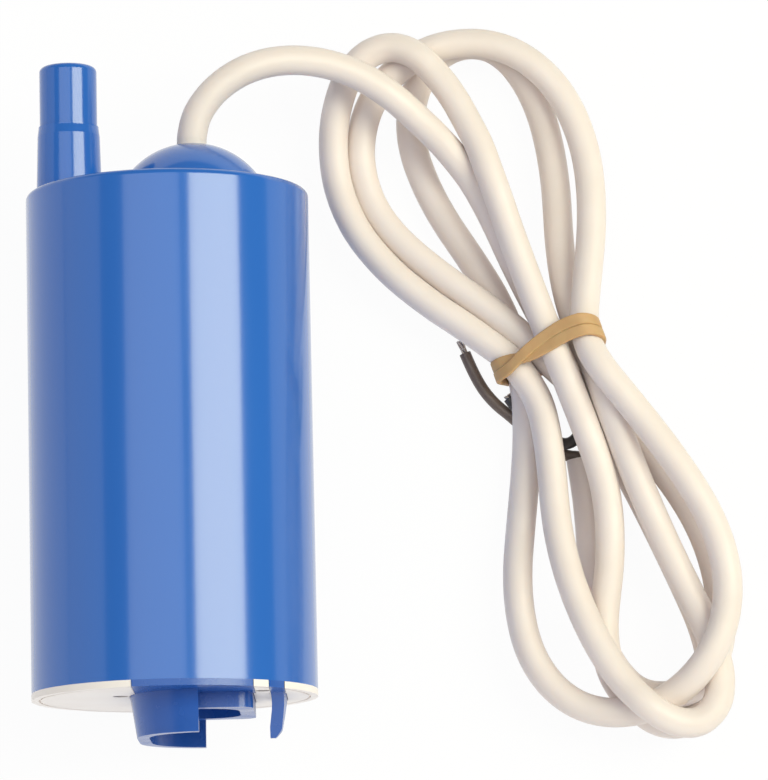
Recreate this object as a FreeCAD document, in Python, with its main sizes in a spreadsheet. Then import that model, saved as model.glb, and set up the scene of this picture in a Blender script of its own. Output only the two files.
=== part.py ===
import FreeCAD, Part
import math
import os
import Sketcher

# A 12 V submersible centrifugal pump. It is drawn upright, with its axis along Z and zero at the
# underside of the base plate, and each piece is then laid on its back: the outlet points along +Y, the
# front faces up and the housing rests on Z = 0. The cable lies beside it on the same surface.

doc = FreeCAD.newDocument("SubmersiblePump")
Vector = FreeCAD.Vector

# Driving dimensions, in millimetres and degrees

DIMENSIONS = {
    "housing_radius": 26, "housing_wall": 2, "housing_top": 93.15, "top_round": 1,
    "dome_x": 4.7, "dome_radius": 15.1, "dome_height": 9.45, "dome_wall": 2,
    "spigot_x": -18, "spigot_root": 6.05, "spigot_waist": 5.75, "spigot_hose": 5.3, "spigot_bore": 3.9,
    "spigot_step": 11.3, "spigot_shoulder": 13.1, "spigot_length": 24.45, "spigot_nose": 1,
    "ledge": 0.25, "weld": 0.5,
    "riser_radius": 5.1, "riser_bore": 4.1, "riser_nose": 4.7, "riser_foot": 12.6, "riser_neck": 15.2,
    "rib_width": 1.6, "motor_rib_foot": 15.4, "motor_rib_top": 88,
    "plate_thickness": 1.2, "plug_radius": 23.9, "plug_top": 3, "plate_groove": 24.3,
    "groove_width": 0.4, "groove_depth": 0.35,
    "motor_x": 5.8, "gap": 0.1,
    "screw_head": 1.3, "screw_recess": 0.5, "screw_head_depth": 1, "screw_shank": 0.8,
    "screw_length": 6,
    "guard_x": 6.2, "guard_half_width": 14.1, "guard_half_height": 19.2, "guard_depth": 7.5,
    "guard_wall": 2.2, "guard_taper": 9, "shield_edge": 4.9, "claw_edge": 17.2, "claw_half": 8.6,
    "claw_tip_half": 0.6, "claw_shoulder": 3, "claw_shoulder_x": 20.2, "claw_tip_x": 18.2,
    "claw_round": 6.5, "tongue_left": -6.6, "tongue_right": 14.8, "tongue_foot": 8,
    "tab_left": 17.6, "tab_right": 20.2,
    "collar_half_width": 8.6, "collar_half_height": 12.2, "collar_corner": 3, "collar_wall": 2.6,
    "collar_depth": 2.8,
    "mouth_top": 1, "eye_radius": 5.8, "flange_top": 4,
    "chamber_radius": 23.8, "chamber_top": 15, "cavity_top": 9.5,
    "volute_small": 14, "volute_side": 14.3, "volute_large": 14.7, "volute_outlet": 14.6,
    "volute_tongue": 13.4, "outlet_lean": 67,
    "seal_foot": 9.9, "seal_section": 0.8, "lip_foot": 11, "lip_radius": 4.9, "shaft_hole": 2.1,
    "shaft_radius": 1.585, "shaft_chamfer": 0.2, "running_gap": 0.035, "shaft_foot": 5.3, "shaft_top": 68,
    "hub_radius": 3.2, "vane_foot": 4.3, "shroud_foot": 8, "shroud_top": 9.2, "impeller_radius": 12.5,
    "vane_count": 6, "vane_convex": 9.6, "vane_concave": 8.4, "vane_thickness": 1.2, "vane_heel": 0.96,
    "vane_root_x": 2.6, "vane_root_y": 0.65, "vane_tip_x": 8.7, "vane_tip_y": -8.7,
    "lip_thickness": 0.7, "split_width": 0.4, "split_depth": 0.5,
    "can_radius": 17.5, "can_wall": 1.1, "can_foot": 15.5, "can_front": 16.7, "can_top": 62,
    "bush_radius": 3.4, "bush_foot": 16.3, "bush_top": 20.5, "bush_boss": 5,
    "motor_screw_circle": 8, "motor_screw": 1.2, "motor_screw_head": 2.4,
    "magnet_inner": 14.2, "magnet_outer": 16.3, "magnet_foot": 22, "magnet_top": 52, "magnet_angle": 140,
    "clip_angle": 20, "clip_inner": 15.4,
    "stack_radius": 13.7, "stack_foot": 26, "stack_top": 48, "slot_count": 5, "slot_circle": 8.6,
    "slot_radius": 2.6, "slot_mouth": 1.6, "coil_radius": 2.4, "coil_inner": 3.6, "coil_outer": 11.4,
    "coil_end": 4.5,
    "commutator_radius": 3.4, "commutator_foot": 54, "commutator_top": 61, "washer_radius": 2.9,
    "washer_thickness": 0.5,
    "cap_plug_foot": 60.5, "cap_top": 64, "cap_boss": 5, "cap_boss_top": 68.5, "rear_bush_foot": 62.4,
    "brush_foot": 55.5, "brush_top": 59, "brush_width": 4, "brush_length": 4, "arm_thickness": 0.4,
    "terminal_x": 10, "terminal_width": 4.8, "terminal_thickness": 0.8, "terminal_foot": 61,
    "terminal_top": 72,
    "cable_radius": 2.75, "tail_reach": 0.5, "core_radius": 1.1, "strand_radius": 0.6, "core_spread": 1.25,
    "lead_stub": 4.5, "tail_foot": 86, "cable_seal_radius": 4.4, "cable_seal_foot": 93.2,
    "cable_seal_top": 97.7, "cable_boss": 5.4,
    "hank_height": 17.6, "band_width": 4.2, "band_thickness": 1, "band_length": 23.4, "band_angle": 18,
    "band_x": 70.6, "band_y": 10.2,
}

# Base plate screws, from the housing's axis

CLAW_SCREW = (16.2, -12)
SCREW_PLACES = [(-9.5, -7), CLAW_SCREW, (-2.5, 20.3)]
PAIR = 2

sheet = doc.addObject("Spreadsheet::Sheet", "Dimensions")
for row, (alias, number) in enumerate(DIMENSIONS.items(), start=1):
    sheet.set(f"A{row}", alias.replace("_", " "))
    sheet.set(f"B{row}", str(number))
    sheet.setAlias(f"B{row}", alias)
doc.recompute()


class Length:
    """A size that knows its value and the spreadsheet expression that gives it."""

    def __init__(self, value, text):
        self.value = value
        self.text = text

    def __add__(self, other):
        other = length(other)
        return Length(self.value + other.value, f"({self.text} + {other.text})")

    def __sub__(self, other):
        other = length(other)
        return Length(self.value - other.value, f"({self.text} - {other.text})")

    def __rsub__(self, other):
        return length(other) - self

    def __mul__(self, factor):
        return Length(self.value * factor, f"({self.text} * {factor})")

    def __neg__(self):
        return Length(-self.value, f"(-1 * {self.text})")


def length(number):
    if isinstance(number, Length):
        return number
    return Length(float(number), f"({float(number)})")


class Driving:
    """The spreadsheet's cells, read as attributes."""

    def __getattr__(self, alias):
        return Length(float(sheet.get(alias)), f"Dimensions.{alias}")


d = Driving()

# Heights that several pieces share

spigot_top = d.housing_top + d.spigot_length
dome_centre = d.housing_top + d.dome_height - d.dome_radius
dome_apex = d.housing_top + d.dome_height
cavity_radius = d.housing_radius - d.housing_wall
lay_y = (d.guard_depth - spigot_top) * 0.5
PUMP_ON_ITS_BACK = FreeCAD.Rotation(Vector(1, 0, 0), -90)

pieces = []


# Sketches: every corner and radius is tied to the spreadsheet

def tie(sketch, constraint, size):
    number = sketch.addConstraint(constraint)
    sketch.setExpression(f"Constraints[{number}]", size.text)


def tie_point(sketch, geometry, end, x, y):
    """Dimension one point from the sketch's origin."""
    if x.value == 0:
        sketch.addConstraint(Sketcher.Constraint("PointOnObject", geometry, end, -2))
    else:
        tie(sketch, Sketcher.Constraint("DistanceX", -1, 1, geometry, end, x.value), x)
    if y.value == 0:
        sketch.addConstraint(Sketcher.Constraint("PointOnObject", geometry, end, -1))
    else:
        tie(sketch, Sketcher.Constraint("DistanceY", -1, 1, geometry, end, y.value), y)


def arc_between(start, finish, radius):
    """The short arc from start to finish: it turns left where the radius is positive."""
    chord = finish.sub(start)
    rise = math.sqrt(radius ** 2 - (chord.Length / 2) ** 2)
    left = Vector(-chord.y, chord.x, 0).normalize()
    centre = start + chord * 0.5 + left * math.copysign(rise, radius)
    if radius < 0:
        start, finish = finish, start
    first = math.atan2(start.y - centre.y, start.x - centre.x)
    last = math.atan2(finish.y - centre.y, finish.x - centre.x)
    if last < first:
        last += 2 * math.pi
    return Part.ArcOfCircle(Part.Circle(centre, Vector(0, 0, 1), abs(radius)), first, last)


def draw_outline(sketch, outline):
    """Draw a closed outline of corners (x, y), or (x, y, radius) where an arc leads to the corner."""
    corners = [(length(corner[0]), length(corner[1])) for corner in outline]
    radii = [length(corner[2]) if len(corner) == 3 else None for corner in outline]
    points = [Vector(x.value, y.value, 0) for x, y in corners]
    ends = []
    for i, start in enumerate(points):
        j = (i + 1) % len(points)
        if radii[j] is None:
            edge = sketch.addGeometry(Part.LineSegment(start, points[j]))
            ends.append((edge, 1, 2))
        else:
            edge = sketch.addGeometry(arc_between(start, points[j], radii[j].value))
            ends.append((edge, 1, 2) if radii[j].value > 0 else (edge, 2, 1))
    for i, (edge, head, tail) in enumerate(ends):
        after, after_head, _ = ends[(i + 1) % len(ends)]
        sketch.addConstraint(Sketcher.Constraint("Coincident", edge, tail, after, after_head))
        tie_point(sketch, edge, head, *corners[i])
        radius = radii[(i + 1) % len(ends)]
        if radius is not None:
            size = radius if radius.value > 0 else -radius
            tie(sketch, Sketcher.Constraint("Radius", edge, size.value), size)


def draw_circle(sketch, x, y, radius):
    x, y, radius = length(x), length(y), length(radius)
    circle = Part.Circle(Vector(x.value, y.value, 0), Vector(0, 0, 1), radius.value)
    edge = sketch.addGeometry(circle)
    tie(sketch, Sketcher.Constraint("Radius", edge, radius.value), radius)
    tie_point(sketch, edge, 3, x, y)


# Bodies and their features

def new_body(label, x=0):
    """A moulded or turned piece, drawn upright round the axis at x and laid on its back."""
    body = doc.addObject("PartDesign::Body", label)
    body.Label = label
    body.AllowCompound = True
    body.Placement = FreeCAD.Placement(Vector(0, 0, 0), PUMP_ON_ITS_BACK)
    body.setExpression("Placement.Base.x", length(x).text)
    body.setExpression("Placement.Base.y", lay_y.text)
    body.setExpression("Placement.Base.z", d.housing_radius.text)
    pieces.append(body)
    return body


def origin_feature(body, role):
    return next(item for item in body.Origin.OriginFeatures if item.Role == role)


def new_sketch(body, plane, shift=(0, 0, 0), turn=None):
    sketch = body.newObject("Sketcher::SketchObject", body.Label + "_sketch")
    sketch.AttachmentSupport = [(origin_feature(body, plane), "")]
    sketch.MapMode = "FlatFace"
    start = length(turn or 0)
    sketch.AttachmentOffset = FreeCAD.Placement(Vector(0, 0, 0), FreeCAD.Rotation(Vector(0, 1, 0), start.value))
    if turn is not None:
        sketch.setExpression("AttachmentOffset.Rotation.Angle", start.text)
    for axis, distance in zip("xyz", shift):
        sketch.setExpression(f"AttachmentOffset.Base.{axis}", length(distance).text)
    return sketch


def finish_feature(body, feature, before, cut):
    """Recompute, and check that a cut took something away."""
    doc.recompute()
    if cut and feature.Shape.Volume > before - 1e-6:
        raise RuntimeError(f"{feature.Name} of {body.Label} cuts nothing")
    return feature


def volume_of(body):
    return body.Shape.Volume if body.Tip else 0


def revolve(body, outline, shift=0, angle=None, start=None, cut=False):
    """Turn an outline of (radius, height) corners about the upright axis at the given shift."""
    before = volume_of(body)
    sketch = new_sketch(body, "XZ_Plane", (shift, 0, 0), start)
    draw_outline(sketch, outline)
    kind = "Groove" if cut else "Revolution"
    feature = body.newObject("PartDesign::" + kind, body.Label + "_" + kind)
    feature.Profile = sketch
    feature.ReferenceAxis = (sketch, ["V_Axis"])
    feature.Angle = 360
    if angle is not None:
        feature.setExpression("Angle", length(angle).text)
    sketch.Visibility = False
    return finish_feature(body, feature, before, cut)


def extrude(body, draw, foot, top, cut=False, hang=False, taper=None):
    """Raise what draw() puts in a level sketch from one height to another, or hang it from the top."""
    before = volume_of(body)
    sketch = new_sketch(body, "XY_Plane", (0, 0, top if hang else foot))
    draw(sketch)
    kind = "Pocket" if cut else "Pad"
    feature = body.newObject("PartDesign::" + kind, body.Label + "_" + kind)
    feature.Profile = sketch
    feature.setExpression("Length", (length(top) - foot).text)
    feature.Reversed = cut != hang
    if taper is not None:
        feature.setExpression("TaperAngle", taper.text)
    sketch.Visibility = False
    return finish_feature(body, feature, before, cut)


def circles(*items):
    """A drawing of circles, each (x, y, radius)."""
    def draw(sketch):
        for item in items:
            draw_circle(sketch, *item)
    return draw


def outline_of(corners):
    def draw(sketch):
        draw_outline(sketch, corners)
    return draw


def rectangle(x, y, half_width, half_depth):
    x, y = length(x), length(y)
    return outline_of([
        (x - half_width, y - half_depth),
        (x + half_width, y - half_depth),
        (x + half_width, y + half_depth),
        (x - half_width, y + half_depth),
    ])


def repeat_round(body, features, count):
    """Repeat features evenly round the body's own upright axis."""
    pattern = body.newObject("PartDesign::PolarPattern", body.Label + "_Pattern")
    pattern.Originals = features
    pattern.Axis = (origin_feature(body, "Z_Axis"), [""])
    pattern.Angle = 360
    pattern.setExpression("Occurrences", length(count).text)
    body.Tip = pattern
    doc.recompute()
    return pattern


def ring(body, inner, outer, foot, top, **options):
    """A plain turned ring, or a disc where inner is zero."""
    corners = [(inner, foot), (outer, foot), (outer, top), (inner, top)]
    return revolve(body, corners, **options)


# Housing: a blue moulding, open below, with the riser tube, the cable dome and the spigot on top

def make_housing():
    body = new_body("housing")
    outer, top, wall = d.housing_radius, d.housing_top, d.housing_wall
    revolve(body, [
        (cavity_radius, d.plate_thickness),
        (outer, d.plate_thickness),
        (outer, top - d.top_round),
        (outer - d.top_round, top, d.top_round),
        (0, top),
        (0, top - wall),
        (cavity_radius, top - wall),
    ])
    dome_base = math.sqrt(d.dome_radius.value ** 2 - (top - dome_centre).value ** 2)
    root = top - wall
    revolve(body, [
        (0, root),
        (dome_base, root),
        (dome_base, top),
        (0, dome_apex, d.dome_radius),
    ], shift=d.dome_x)
    hollow = dome_apex - d.dome_wall
    revolve(body, [(0, root), (dome_base - d.dome_wall.value, root), (0, hollow)], shift=d.dome_x, cut=True)
    ring(body, 0, d.cable_boss, d.cable_seal_foot, hollow, shift=d.dome_x)
    ring(body, 0, d.cable_seal_radius, d.cable_seal_foot, d.cable_seal_top, shift=d.dome_x, cut=True)
    ring(body, 0, d.cable_radius + d.gap, d.cable_seal_foot, dome_apex, shift=d.dome_x, cut=True)

    # Riser tube inside, on the spigot's axis
    revolve(body, [
        (0, d.riser_foot),
        (d.riser_nose, d.riser_foot),
        (d.riser_nose, d.riser_neck),
        (d.riser_radius, d.riser_neck),
        (d.riser_radius, root),
        (0, root),
    ], shift=d.spigot_x)
    ring(body, 0, d.riser_bore, d.riser_foot, top, shift=d.spigot_x, cut=True)

    # Web that ties the riser to the wall, and two ribs that hold the motor can
    half_rib = d.rib_width * 0.5
    web_x = (d.spigot_x - d.riser_radius - cavity_radius) * 0.5
    web_half = (cavity_radius + d.spigot_x - d.riser_radius) * 0.5 + d.weld
    extrude(body, rectangle(web_x, 0, web_half, half_rib), d.riser_neck, root)
    can_edge = d.can_radius + d.gap
    rib_y = (cavity_radius + can_edge) * 0.5
    rib_half = (cavity_radius - can_edge) * 0.5
    for side in (1, -1):
        extrude(body, rectangle(d.motor_x, rib_y * side, half_rib, rib_half), d.motor_rib_foot, d.motor_rib_top)


def make_outlet_spigot():
    """The stepped spigot: a wide foot, a shoulder and a straight upper part for the hose."""
    body = new_body("outlet_spigot", d.spigot_x)
    top, shoulder = d.housing_top, d.housing_top + d.spigot_shoulder
    revolve(body, [
        (d.spigot_bore, top),
        (d.spigot_root, top),
        (d.spigot_waist, top + d.spigot_step),
        (d.spigot_hose + d.ledge, shoulder - d.ledge),
        (d.spigot_hose + d.ledge, shoulder),
        (d.spigot_hose, shoulder),
        (d.spigot_hose, spigot_top - d.spigot_nose),
        (d.spigot_hose - d.spigot_nose, spigot_top, d.spigot_nose),
        (d.spigot_bore, spigot_top),
    ])


# Outlines that the base plate and the intake guard share, from the housing's axis

def oval(x, half_width, half_height):
    """Two half circles joined by straight sides."""
    straight = half_height - half_width
    return [
        (x + half_width, -straight, half_width),
        (x + half_width, straight),
        (x, half_height, half_width),
        (x - half_width, straight, half_width),
        (x - half_width, -straight),
        (x, -half_height, half_width),
    ]


def rounded_box(x, half_width, half_height, corner):
    """A rectangle with rounded corners."""
    right, top = half_width - corner, half_height - corner
    return [
        (x + half_width, -top, corner),
        (x + half_width, top),
        (x + right, half_height, corner),
        (x - right, half_height),
        (x - half_width, top, corner),
        (x - half_width, -top),
        (x - right, -half_height, corner),
        (x + right, -half_height),
    ]


def collar_outline(spare):
    return rounded_box(d.motor_x, d.collar_half_width + spare, d.collar_half_height + spare,
                       d.collar_corner + spare)


def cap_height(x, radius, centre_y):
    """How far the oval's round end reaches at x, for an end of the given radius."""
    across = x.value - d.guard_x.value
    return centre_y + math.sqrt(radius.value ** 2 - across ** 2)


def shield_outline(spare):
    """The left part of the guard's wall, on both sides and round the end."""
    x, edge = d.guard_x, d.shield_edge + spare
    outer = d.guard_half_width + spare
    inner = d.guard_half_width - d.guard_wall - spare
    straight = d.guard_half_height - d.guard_half_width
    far_out = cap_height(edge, outer, straight)
    far_in = cap_height(edge, inner, straight)
    return [
        (edge, far_out),
        (x - outer, straight, outer),
        (x - outer, -straight),
        (edge, -far_out, outer),
        (edge, -far_in),
        (x - inner, -straight, -inner),
        (x - inner, straight),
        (edge, far_in, -inner),
    ]


def claw_outline(spare):
    """The right end of the guard's wall."""
    x, half = d.guard_x, d.claw_half + spare
    outer = d.guard_half_width + spare
    inner = d.guard_half_width - d.guard_wall - spare
    straight = d.guard_half_height - d.guard_half_width
    rise = (half - straight).value
    x_out = x + math.sqrt(outer.value ** 2 - rise ** 2)
    x_in = x + math.sqrt(inner.value ** 2 - rise ** 2)
    return [
        (x_out, -half),
        (x + outer, -straight, outer),
        (x + outer, straight),
        (x_out, half, outer),
        (x_in, half),
        (x + inner, straight, -inner),
        (x + inner, -straight),
        (x_in, -half, -inner),
    ]


def rim_outline(left, right, foot, spare):
    """A part of the disc between two edges, from a straight foot out to the rim."""
    left, right = left - spare, right + spare
    rim = d.housing_radius
    return [
        (left, -math.sqrt(rim.value ** 2 - left.value ** 2)),
        (right, -math.sqrt(rim.value ** 2 - right.value ** 2), rim),
        (right, -foot + spare),
        (left, -foot + spare),
    ]


# Base plate: white disc with a plug, openings for the guard and three screw recesses

def make_base_plate():
    body = new_body("base_plate")
    thickness, spare = d.plate_thickness, d.gap
    revolve(body, [
        (0, 0),
        (d.plate_groove, 0),
        (d.plate_groove, d.groove_depth),
        (d.plate_groove + d.groove_width, d.groove_depth),
        (d.plate_groove + d.groove_width, 0),
        (d.housing_radius, 0),
        (d.housing_radius, thickness),
        (d.plug_radius, thickness),
        (d.plug_radius, d.plug_top),
        (0, d.plug_top),
    ])
    for outline in (collar_outline(spare), shield_outline(spare), claw_outline(spare)):
        extrude(body, outline_of(outline), 0, d.plug_top, cut=True)
    for left, right in ((d.tongue_left, d.tongue_right), (d.tab_left, d.tab_right)):
        extrude(body, outline_of(rim_outline(left, right, d.tongue_foot, spare)), 0, thickness, cut=True)
    recesses = [(x, y, d.screw_head + spare) for x, y in SCREW_PLACES]
    holes = [(x, y, d.screw_shank + spare) for x, y in SCREW_PLACES]
    extrude(body, circles(*recesses), 0, d.screw_recess + d.screw_head_depth, cut=True)
    extrude(body, circles(*holes), 0, d.plug_top, cut=True)


def make_base_screws():
    """Self-tapping screws with low round heads, sunk in the plate's recesses."""
    body = new_body("base_screws")
    seat = d.screw_recess + d.screw_head_depth
    heads = [(x, y, d.screw_head) for x, y in SCREW_PLACES]
    shanks = [(x, y, d.screw_shank) for x, y in SCREW_PLACES]
    extrude(body, circles(*heads), d.screw_recess, seat)
    extrude(body, circles(*shanks), seat, seat + d.screw_length)


# Intake guard: blue moulding whose walls and collar stand out through the base plate

def cut_sideways(body, sketch, depth):
    """Cut a sketch's outlines along its normal."""
    before = volume_of(body)
    pocket = body.newObject("PartDesign::Pocket", body.Label + "_Pocket")
    pocket.Profile = sketch
    pocket.setExpression("Length", depth.text)
    pocket.Reversed = True
    sketch.Visibility = False
    return finish_feature(body, pocket, before, True)


def make_intake_guard():
    body = new_body("intake_guard")
    root, wall, depth = d.plug_top, d.guard_wall, d.guard_depth
    width, height = d.guard_half_width, d.guard_half_height
    extrude(body, outline_of(oval(d.guard_x, width, height)), -depth, 0, hang=True, taper=-d.guard_taper)
    extrude(body, outline_of(oval(d.guard_x, width - wall, height - wall)), -depth, 0, cut=True, hang=True,
            taper=-d.guard_taper)
    window_half = (d.claw_edge - d.shield_edge) * 0.5
    extrude(body, rectangle(d.shield_edge + window_half, 0, window_half, height + wall), -depth, 0, cut=True)

    # The claw narrows to its tip, from both sides and from its round outer face
    sketch = new_sketch(body, "YZ_Plane", (0, 0, d.guard_x))
    for side in (1, -1):
        draw_outline(sketch, [
            (d.claw_half * side, 0),
            (d.claw_tip_half * side, -depth),
            (height * side, -depth),
            (height * side, 0),
        ])
    cut_sideways(body, sketch, width + wall)
    sketch = new_sketch(body, "XZ_Plane", (0, 0, -d.claw_half))
    draw_outline(sketch, [
        (d.claw_shoulder_x, -d.claw_shoulder),
        (d.claw_tip_x, -depth, -d.claw_round),
        (d.guard_x + width, -depth),
        (d.guard_x + width, -d.claw_shoulder),
    ])
    cut_sideways(body, sketch, d.claw_half * 2)

    # Roots of the walls in the plate, the flange behind it and the tongues out to its rim
    for outline in (shield_outline(length(0)), claw_outline(length(0))):
        extrude(body, outline_of(outline), 0, root)
    extrude(body, outline_of(oval(d.guard_x, width, height)), root, d.flange_top)
    extrude(body, outline_of(collar_outline(length(0))), -d.collar_depth, root)
    for left, right in ((d.tongue_left, d.tongue_right), (d.tab_left, d.tab_right)):
        outline = rim_outline(left, right, d.tongue_foot, length(0))
        extrude(body, outline_of(outline), 0, d.plate_thickness)
    mouth = oval(d.motor_x, d.collar_half_width - d.collar_wall, d.collar_half_height - d.collar_wall)
    extrude(body, outline_of(mouth), -d.collar_depth, d.mouth_top, cut=True)
    eye = (d.motor_x, 0, d.eye_radius)
    extrude(body, circles(eye), d.mouth_top, d.flange_top, cut=True)
    x, y = CLAW_SCREW
    extrude(body, circles((x, y, d.screw_shank + d.gap)), root, d.flange_top, cut=True)


# Pump chamber: white disc with the spiral volute on its underside

def volute_outline():
    """The water's way round the impeller, from the tongue to the outlet port, seen from the motor axis."""
    port = d.spigot_x - d.motor_x
    bore = d.spigot_bore
    lean = math.radians(d.outlet_lean.value)
    return [
        (-d.volute_tongue, -bore),
        (0, -d.volute_small, d.volute_small),
        (d.volute_side, 0, d.volute_side),
        (0, d.volute_large, d.volute_outlet),
        (port + bore * math.cos(lean), bore * math.sin(lean)),
        (port - bore, 0, bore),
        (port, -bore, bore),
    ]


def make_pump_chamber():
    body = new_body("pump_chamber", d.motor_x)
    groove = d.chamber_radius - d.seal_section * 2 + d.gap
    revolve(body, [
        (0, d.plug_top),
        (d.chamber_radius, d.plug_top),
        (d.chamber_radius, d.seal_foot),
        (groove, d.seal_foot),
        (groove, d.seal_foot + d.seal_section * 2),
        (d.chamber_radius, d.seal_foot + d.seal_section * 2),
        (d.chamber_radius, d.chamber_top),
        (0, d.chamber_top),
    ], shift=-d.motor_x)
    ring(body, 0, d.can_radius - d.can_wall, d.chamber_top, d.can_foot)
    seat = oval(d.guard_x - d.motor_x, d.guard_half_width + d.gap, d.guard_half_height + d.gap)
    extrude(body, outline_of(seat), d.plug_top, d.flange_top, cut=True)
    extrude(body, outline_of(volute_outline()), d.flange_top, d.cavity_top, cut=True)
    port = d.spigot_x - d.motor_x
    extrude(body, circles((port, 0, d.spigot_bore)), d.cavity_top, d.riser_foot, cut=True)
    socket = d.riser_nose + d.gap
    extrude(body, circles((port, 0, socket)), d.riser_foot - d.seal_section, d.chamber_top, cut=True)
    ring(body, 0, d.shaft_hole, d.cavity_top, d.can_foot, cut=True)
    ring(body, 0, d.lip_radius, d.lip_foot, d.can_foot, cut=True)
    head_top = d.cavity_top + d.screw_head_depth
    heads = [(0, d.motor_screw_circle * side, d.motor_screw_head + d.gap) for side in (1, -1)]
    shanks = [(0, d.motor_screw_circle * side, d.motor_screw + d.gap) for side in (1, -1)]
    extrude(body, circles(*heads), d.cavity_top, head_top, cut=True)
    extrude(body, circles(*shanks), head_top, d.can_foot, cut=True)
    pilots = [(x - d.motor_x, y, d.screw_shank) for x, y in SCREW_PLACES]
    pilot_top = d.screw_recess + d.screw_head_depth + d.screw_length
    extrude(body, circles(*pilots), d.plug_top, pilot_top, cut=True)


# Seals

def make_seals():
    chamber_seal = new_body("chamber_seal")
    outer = d.chamber_radius + d.gap
    inner = outer - d.seal_section * 2
    bevel = d.seal_section * 0.4
    revolve(chamber_seal, [
        (inner, d.seal_foot),
        (outer - bevel, d.seal_foot),
        (outer, d.seal_foot + bevel),
        (outer, d.seal_foot + d.seal_section * 2 - bevel),
        (outer - bevel, d.seal_foot + d.seal_section * 2),
        (inner, d.seal_foot + d.seal_section * 2),
    ])
    riser_seal = new_body("riser_seal", d.spigot_x)
    ring(riser_seal, d.spigot_bore, d.riser_nose, d.riser_foot - d.seal_section, d.riser_foot)
    lip_seal = new_body("lip_seal", d.motor_x)
    lip = d.shaft_radius + d.running_gap
    revolve(lip_seal, [
        (lip, d.lip_foot),
        (lip + d.lip_thickness, d.lip_foot),
        (lip + d.lip_thickness * 2, d.lip_foot + d.lip_thickness * 2),
        (d.lip_radius - d.lip_thickness, d.lip_foot + d.lip_thickness * 2),
        (d.lip_radius - d.lip_thickness, d.lip_foot),
        (d.lip_radius, d.lip_foot),
        (d.lip_radius, d.chamber_top),
        (lip + d.lip_thickness, d.chamber_top),
        (lip + d.lip_thickness, d.lip_foot + d.lip_thickness * 2),
        (lip, d.lip_foot + d.lip_thickness),
    ])


# Rotor: shaft, impeller, armature, windings, commutator and washers turn together

def make_shaft():
    body = new_body("shaft", d.motor_x)
    revolve(body, [
        (0, d.shaft_foot),
        (d.shaft_radius, d.shaft_foot),
        (d.shaft_radius, d.shaft_top - d.shaft_chamfer),
        (d.shaft_radius - d.shaft_chamfer, d.shaft_top),
        (0, d.shaft_top),
    ])


def vane_outline():
    """One backward-curved vane, from the hub to the impeller's rim."""
    return [
        (d.vane_root_x, d.vane_root_y),
        (d.vane_tip_x, d.vane_tip_y, -d.vane_convex),
        (d.vane_tip_x - d.vane_thickness, d.vane_tip_y - d.vane_heel),
        (d.vane_root_x, -d.vane_root_y, d.vane_concave),
    ]


def make_impeller():
    body = new_body("impeller", d.motor_x)
    ring(body, 0, d.impeller_radius, d.shroud_foot, d.shroud_top)
    hub_taper = d.vane_thickness
    revolve(body, [
        (0, d.vane_foot),
        (d.hub_radius - hub_taper, d.vane_foot),
        (d.hub_radius, d.vane_foot + hub_taper),
        (d.hub_radius, d.shroud_foot),
        (0, d.shroud_foot),
    ])
    vane = extrude(body, outline_of(vane_outline()), d.vane_foot, d.shroud_foot)
    repeat_round(body, [vane], d.vane_count)
    ring(body, 0, d.shaft_radius, d.shaft_foot, d.shroud_top, cut=True)


def make_armature():
    stack = new_body("armature_stack", d.motor_x)
    ring(stack, d.shaft_radius, d.stack_radius, d.stack_foot, d.stack_top)
    slot = extrude(stack, circles((d.slot_circle, 0, d.slot_radius)), d.stack_foot, d.stack_top, cut=True)
    mouth_x = (d.slot_circle + d.stack_radius) * 0.5 + d.gap
    mouth_half = (d.stack_radius - d.slot_circle) * 0.5 + d.gap
    mouth = extrude(stack, rectangle(mouth_x, 0, mouth_half, d.slot_mouth * 0.5), d.stack_foot, d.stack_top,
                    cut=True)
    repeat_round(stack, [slot, mouth], d.slot_count)

    coils = new_body("coil_windings", d.motor_x)
    for foot, top in ((d.stack_foot - d.coil_end, d.stack_foot), (d.stack_top, d.stack_top + d.coil_end)):
        ring(coils, d.coil_inner, d.coil_outer, foot, top)
    bundle = extrude(coils, circles((d.slot_circle, 0, d.coil_radius)), d.stack_foot, d.stack_top)
    repeat_round(coils, [bundle], d.slot_count)


def make_commutator():
    body = new_body("commutator", d.motor_x)
    ring(body, d.shaft_radius, d.commutator_radius, d.commutator_foot, d.commutator_top)
    split = extrude(body, rectangle(d.commutator_radius, 0, d.split_depth, d.split_width * 0.5),
                    d.commutator_foot, d.commutator_top, cut=True)
    repeat_round(body, [split], d.slot_count)


def make_thrust_washers():
    body = new_body("thrust_washers", d.motor_x)
    front, rear = d.bush_top + d.gap, d.rear_bush_foot - d.gap - d.washer_thickness
    for foot in (front, rear):
        ring(body, d.shaft_radius, d.washer_radius, foot, foot + d.washer_thickness)


# Motor: can, bushes, magnets, end cap, brushes and terminals

def make_motor_can():
    body = new_body("motor_can", d.motor_x)
    hole = d.shaft_hole
    inner = d.can_radius - d.can_wall
    revolve(body, [
        (hole, d.can_foot),
        (inner, d.can_foot),
        (d.can_radius, d.can_foot + d.can_wall),
        (d.can_radius, d.can_top),
        (inner, d.can_top),
        (inner, d.can_front),
        (d.bush_boss, d.can_front),
        (d.bush_boss, d.bush_top - d.gap),
        (d.bush_radius, d.bush_top - d.gap),
        (d.bush_radius, d.bush_foot),
        (hole, d.bush_foot),
    ])
    for side in (1, -1):
        y = d.motor_screw_circle * side
        extrude(body, circles((0, y, d.motor_screw)), d.can_foot, d.can_front, cut=True)


def make_motor_screws():
    body = new_body("motor_screws", d.motor_x)
    seat = d.cavity_top + d.screw_head_depth
    y = d.motor_screw_circle
    head = extrude(body, circles((0, y, d.motor_screw_head)), d.cavity_top, seat)
    shank = extrude(body, circles((0, y, d.motor_screw)), seat, d.can_front + d.can_wall)
    repeat_round(body, [head, shank], PAIR)


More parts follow.
